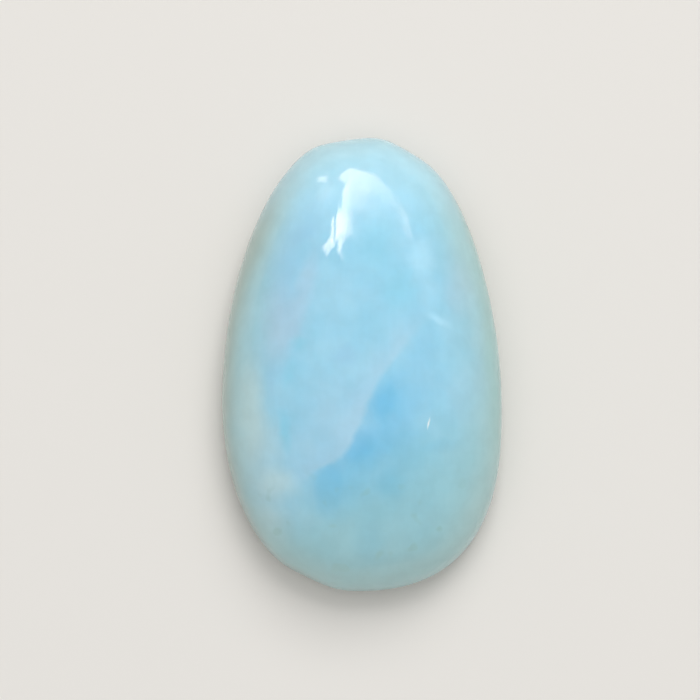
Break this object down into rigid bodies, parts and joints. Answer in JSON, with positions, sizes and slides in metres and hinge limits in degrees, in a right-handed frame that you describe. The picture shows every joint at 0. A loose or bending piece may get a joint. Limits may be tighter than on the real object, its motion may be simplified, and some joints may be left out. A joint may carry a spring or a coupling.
{
  "type": "larimar cabochon",
  "caption": "Egg-shaped larimar cabochon with a polished dome and a flat back, sky blue with soft white veins and paler, greenish edges.",
  "frame": {"origin": "on the ground under the middle of the stone's box, in the plane of its flat back", "axes": "+Z straight out of the dome, +Y along the stone towards its narrow end, +X across it to the right as seen from above with the narrow end away"},
  "size_m": [0.0154, 0.025, 0.0068],
  "materials": {
    "larimar": "polished to a wet gloss on the dome, satin on the back; cloudy sky blue with diffuse white veins"
  },
  "bodies": {
    "root": {"cabochon": "larimar"}
  },
  "joints": []
}
